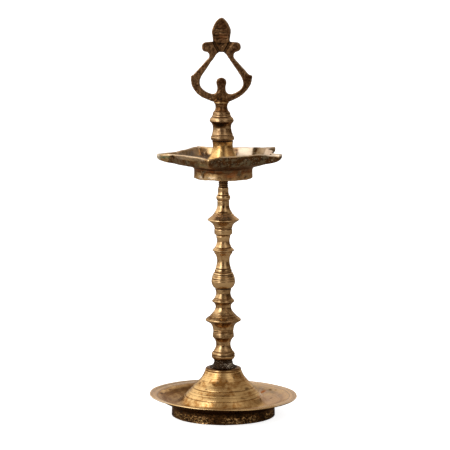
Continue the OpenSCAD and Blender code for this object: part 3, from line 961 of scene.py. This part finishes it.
# the first two pale spots of the collar are a painted highlight at its lower left
COLLAR_PALE_AND_HIGHLIGHT = (
    (0.80, -50, 225.2, 4.0, 1.8), (0.60, -24, 225.2, 6.0, 1.4), (0.4, 52, 226.6, 4.0, 2.0))
ROOT_SOOT = (
    (0.9, 138, 46.0, 1.8, 4.0), (0.7, -154, 49.0, 1.4, 6.0), (0.6, -160, 46.0, 1.0, 3.0),
    (0.6, 66, 48.0, 1.0, 5.0), (0.5, 52, 49.0, 1.0, 6.0), (0.4, -20, 44.0, 2.0, 3.0))


def dish_stain_and_painted_light(p, up):
    r, z, turn = off_axis(p), p[:, 2] / MM, azimuth(p)
    below_rim = z - (warp(p) + RIM_Z) / MM
    front = abs(turn - FRONT_SPOUT)
    # the rim's top: pale rubbed metal, and in part a painted highlight on the faces turned up
    rubbed_lip_and_highlight = (smoothstep(0.2, 0.6, up) * smoothstep(-1.6, -0.8, below_rim))
    # outside: wall and spouts, the flat under side with painted red-brown shade, painted shade
    # round the right, away from the lamp, and tips rubbed bare except in front
    outside = smoothstep(28.5, 30.5, r) * smoothstep(0.15, -0.15, up)
    wall = outside * smoothstep(-0.75, -0.55, up)
    soot_and_shade = outside * most(
        # painted shade: darker from the front spout round the right side, away from the lamp
        0.22 + 0.34 * smoothstep(-14, -10, turn) * smoothstep(150, 100, turn),
        0.46 * bump_between(turn, -90, -36) * smoothstep(242.9, 241.3, z),
        *spots(p, ((0.75, 4, 244.7, 3, 1.2), (0.85, -76, 243.3, 2.0, 2.4))))
    soot_and_shade = np.where((r > 51) & (turn < -60) & (up < 0.2), 0.4 * soot_and_shade, soot_and_shade)
    green = wall * (sum(spots(p, WALL_GREEN)) + 0.16 * bump_between(turn, -75, -20))
    # the red-brown on the faces turned down is painted shade under the rim
    red = outside * (0.35 * patch(p, 25, 238, 9, 2.0) + 0.40 * smoothstep(-0.6, -0.85, up))
    pale = outside * most(
        sum(spots(p, WALL_PALE))
        + 0.35 * bump_between(turn, -70, -14) * smoothstep(240.5, 243.5, z),
        0.55 * bump_between(turn, -84, -16) * smoothstep(-2.8, -2.0, below_rim))
    tips = smoothstep(57.5, 60.0, r) * smoothstep(3, 7, front) * (1 - 0.55 * (turn > 0))
    pale = most(pale, 0.9 * tips)
    soot_and_shade = soot_and_shade * (1 - 0.8 * tips)

    collar = smoothstep(28.6, 27.6, r) * (r > 25) * smoothstep(234, 233, z)
    # painted shade: shade is the bowl's shade over the collar's top, and the bands at 5 to 85
    # degrees below darken its right side, away from the lamp
    shade = smoothstep(229.2, 231.2, z) * bump_between(turn, -60, 75)
    soot_and_shade = most(soot_and_shade, collar * most(0.24 * shade + 0.12 * bump_between(turn, 5, 80),
                                    0.22 * smoothstep(0.0, 0.4, lumps(p, 3.0 * MM, 1.0, 51.0)),
                                    *spots(p, COLLAR_SOOT)))
    red = most(red, collar * (0.12 + 0.45 * shade + 0.30 * patch(p, 12, 227, 8, 3)
                              + 0.16 * bump_between(turn, 20, 85)))
    green = most(green, collar * 0.45 * patch(p, 33, 228.0, 3.5, 1.2))
    # painted highlight at the collar's lower left, from its first two pale spots
    pale = most(pale, collar * sum(spots(p, COLLAR_PALE_AND_HIGHLIGHT)))

    # inside: brown at the left, a pale haze, painted light in cream at the back and at the right,
    # where the wall faces the lamp at the left, black in the spouts' roots, the lip rubbed and in
    # part a painted highlight
    inside = smoothstep(0.05, 0.25, up) * (r > 17)
    soot_and_shade = most(soot_and_shade, inside * most(0.10 * bump_between(turn, -150, -60),
                                    *spots(p, ROOT_SOOT, spot)))
    red = most(red, inside * most(0.25 * bump_between(turn, 158, 172),
                                  0.45 * spot(p, 98, 38, 4.0, 3.0)))
    # painted light: cream at 142 to 158 degrees and at 56 to 122 degrees, where the wall faces the
    # lamp
    pale = most(pale, inside * (0.22 + 0.78 * bump_between(turn, 142, 158)
                                + 0.65 * bump_between(turn, 56, 122) * (r > 32)
                                + 0.10 * bump_between(turn, -150, -100)))
    in_front = (front < 11) * smoothstep(46, 50, r)
    rubbed_lip_and_highlight = rubbed_lip_and_highlight * (1 - 0.75 * in_front)
    pale = most(pale * (1 - 0.6 * in_front), 0.5 * rubbed_lip_and_highlight)
    return painted_light_and_stain_amounts(p, soot_and_shade * (1 - 0.7 * rubbed_lip_and_highlight), green, red, pale)


# ---- Finial loop ----

def distance_to_segment(x, z, a, b):
    a, b = np.array(a), np.array(b)
    way = b - a
    t = np.clip(((x - a[0]) * way[0] + (z - a[1]) * way[1]) / way.dot(way), 0, 1)
    return np.hypot(x - a[0] - t * way[0], z - a[1] - t * way[1])


def in_loop_plane(p):
    """Each point's place across the loop, through it and up, in mm."""
    c, s = math.cos(-LOOP_TURN), math.sin(-LOOP_TURN)
    return (p[:, 0] * c - p[:, 1] * s) / MM, (p[:, 0] * s + p[:, 1] * c) / MM, p[:, 2] / MM


def make_loop():
    """The CAD loop remeshed and worn round, with the cuts of its calyx and bud."""
    copy = bpy.data.objects.new("loop_work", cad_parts["finial_loop"].data.copy())
    bpy.context.scene.collection.objects.link(copy)
    remesh = copy.modifiers.new("skin", "REMESH")
    remesh.mode = "VOXEL"
    remesh.voxel_size = 0.42 * MM
    smooth = copy.modifiers.new("wear", "SMOOTH")
    smooth.factor = 0.5
    smooth.iterations = 9
    evaluated = copy.evaluated_get(bpy.context.evaluated_depsgraph_get())
    mesh = bpy.data.meshes.new_from_object(evaluated)
    bpy.data.objects.remove(copy)
    mesh.name = "finial_loop_casting"
    mesh.materials.clear()
    for name in [a.name for a in mesh.attributes if a.name not in
                 ("position", ".edge_verts", ".corner_vert", ".corner_edge")]:
        if not mesh.attributes[name].is_required:
            mesh.attributes.remove(mesh.attributes[name])

    co = vectors(mesh.vertices, "co")
    x, y, z = in_loop_plane(co)
    lines = [z - height - 0.25 * np.sin(0.8 * x + 1.3 * k) for k, height in enumerate(BUD_LINES)]
    cut = most(1.15 * bell(distance_to_segment(abs(x), z, *CALYX_CUT) / 0.95),
               0.35 * bell(distance_to_segment(abs(x), z, *CALYX_EDGE) / 0.5),
               *(0.30 * bell(line / 0.35) * (abs(x) < 6.2 - 0.5 * k)
                 for k, line in enumerate(lines)))
    y = y - np.sign(y) * cut * smoothstep(1.2, 2.4, abs(y))
    # the rough skin of the casting, down to the foot, which stays as wide as its seat
    depth = lumps(np.stack([x, y, z], 1) * MM, 7 * MM, 0.22, 21.0)
    depth += lumps(np.stack([x, y, z], 1) * MM, 1.8 * MM, 0.10, 22.0)
    clear = smoothstep(292.9, 295, z)[:, None]
    c, s = math.cos(-LOOP_TURN), math.sin(-LOOP_TURN)
    co[:, 0] = (x * c + y * s) * MM
    co[:, 1] = (-x * s + y * c) * MM
    co += vectors(mesh.vertex_normals, "vector") * ((depth - 0.1) * MM)[:, None] * clear
    # the right limb's point stands out more
    ear = bell((x - 28) / 2.2, (z - 317) / 2.2)
    co[:, 0] += 0.5 * ear * MM
    co[:, 2] = np.minimum(co[:, 2] + 0.8 * ear * MM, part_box("finial_loop")[1].z)
    mesh.vertices.foreach_set("co", lean(co).ravel())
    finish_piece("finial_loop_casting", mesh, "finial", "dark", ["finial_loop"],
                 loop_stain_and_painted_shade)


def loop_stain_and_painted_shade(p, up):
    x, _, z = in_loop_plane(p)
    mottle = smoothstep(0.45, 0.75, 0.5 + lumps(p, 3.0 * MM, 1.0, 41.0))
    soot_and_shade = most(0.95 * bell(distance_to_segment(abs(x), z, *CALYX_CUT) / 1.05),
                0.45 * mottle * smoothstep(309, 299, z) * smoothstep(13, 8, abs(x)),
                0.75 * bell((x - 5.6) / 1.5, (z - 364) / 1.2),
                # painted shade down the bud's right edge, the side turned away from the lamp
                0.6 * smoothstep(6.4, 7.8, x) * (z > 348) * (z < 362),
                0.7 * bell((x - 4.2) / 0.9, (z - 305.5) / 3))
    return painted_light_and_stain_amounts(p, soot_and_shade, red=0.30 * bell((x - 0.5) / 4.5, (z - 353) / 4.0))


def make_braze():
    """The thin uneven ring of braze where the loop stands on the neck."""
    around, section_points, ring_r = 96, 10, 6.55
    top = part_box("finial_neck")[1].z
    verts, faces = [], []
    for i in range(around):
        a = 2 * math.pi * i / around
        wide = 0.42 + 0.12 * noise.noise(Vector((2 * math.cos(a), 2 * math.sin(a), 4)))
        for j in range(section_points):
            b = 2 * math.pi * j / section_points
            r = (ring_r + wide * math.cos(b)) * MM
            verts.append((r * math.cos(a), r * math.sin(a), top + wide * math.sin(b) * MM))
            here, on = (k % around * section_points for k in (i, i + 1))
            above = (j + 1) % section_points
            faces.append((here + j, on + j, on + above, here + above))
    piece("finial_braze", lean(np.array(verts)), faces, "finial", "bright", [])


# ---- Studio ----

def make_floor():
    mesh = bpy.data.meshes.new("floor")
    corners = [(x * FLOOR_HALF, y * FLOOR_HALF, 0)
               for x, y in ((-1, -1), (1, -1), (1, 1), (-1, 1))]
    mesh.from_pydata(corners, [], [(0, 1, 2, 3)])
    mesh.materials.append(floor_material())
    floor = bpy.data.objects.new("floor", mesh)
    bpy.context.scene.collection.objects.link(floor)


def make_light(name, place, size, power, tint):
    """A soft lamp that the brass doesn't mirror, aimed at the lamp's middle."""
    data = bpy.data.lights.new(name, "AREA")
    data.shape = "RECTANGLE"
    data.size, data.size_y = size
    data.energy = power
    data.color = tint
    lamp = bpy.data.objects.new(name, data)
    lamp.location = place
    lamp.visible_glossy = False
    way = Vector(LAMP_MIDDLE) - Vector(place)
    lamp.rotation_euler = way.to_track_quat("-Z", "Y").to_euler()
    bpy.context.scene.collection.objects.link(lamp)


def around_axis(degrees, distance, height):
    """A place round the lamp: degrees from the front, positive to the right."""
    a = math.radians(degrees)
    return (distance * math.sin(a), -distance * math.cos(a), height)


def make_studio():
    make_floor()
    for name, degrees, distance, height, size, power, tint in LIGHTS:
        make_light(name, around_axis(degrees, distance, height), size, power, tint)
    world = bpy.data.worlds.new("studio")
    world.use_nodes = True
    tree = world.node_tree
    background = tree.nodes["Background"]
    seen = add(tree, "ShaderNodeLightPath", {})
    soft = blend(tree, seen.outputs["Is Camera Ray"], colour(0.6, 0.6, 0.6), colour(1, 1, 1))
    tree.links.new(blend(tree, seen.outputs["Is Glossy Ray"], soft, reflected_room(tree)),
                   background.inputs[0])
    background.inputs[1].default_value = 1.0
    bpy.context.scene.world = world
    bpy.context.scene.view_settings.view_transform = "Standard"


# The room as the brass reflects it: a wide window of soft light at the left, a bright panel at
# the left front, a weaker one at the right front, a pale wall behind and the ceiling, in front
# of a dim warm ground. Each has its brightness and tint, and the bands of the direction's parts
# (X to the right, Y to the back, Z up) from where it begins to where it is full.
DIM_GROUND = (0.080, 0.044, 0.019)
ROOM = ((1.15, (1.0, 0.95, 0.87), (("X", -0.35, -0.70), ("Z", -0.5, 0.1))),
        (1.8, (1.0, 1.0, 1.0), (("Y", -0.1, -0.4), ("X", -0.34, -0.52), ("X", -0.88, -0.72))),
        (0.5, (1.0, 0.95, 0.88), (("Y", -0.1, -0.4), ("X", 0.22, 0.40), ("X", 0.80, 0.60))),
        (0.7, (1.0, 0.98, 0.95), (("Y", 0.55, 0.92), ("Z", 0.75, 0.45))),
        (0.30, (1.0, 0.90, 0.75), (("Z", 0.05, 0.60),)))


def reflected_room(tree):
    way = add(tree, "ShaderNodeTexCoord", {}).outputs["Generated"]
    parts = add(tree, "ShaderNodeSeparateXYZ", {0: way}).outputs
    light = colour(*DIM_GROUND)
    for strength, tint, bands in ROOM:
        mask = reduce(lambda a, b: math_node(tree, "MULTIPLY", a, b),
                      [band(tree, parts[axis], low, high) for axis, low, high in bands])
        light = blend(tree, mask, light, colour(*(strength * t for t in tint)), "ADD")
    return light


def make_camera():
    """Seen from a little above, through a long lens, as the lamp stands in the photograph."""
    data = bpy.data.cameras.new("camera")
    data.lens = LENS
    data.sensor_width = SENSOR
    data.clip_end = 100.0
    camera = bpy.data.objects.new("camera", data)
    camera.location = CAMERA_PLACE
    camera.rotation_euler = (math.radians(CAMERA_TILT), 0, 0)
    bpy.context.scene.collection.objects.link(camera)
    bpy.context.scene.camera = camera


make_camera()
make_studio()
make_turned_pieces()
make_dish()
make_loop()
make_braze()
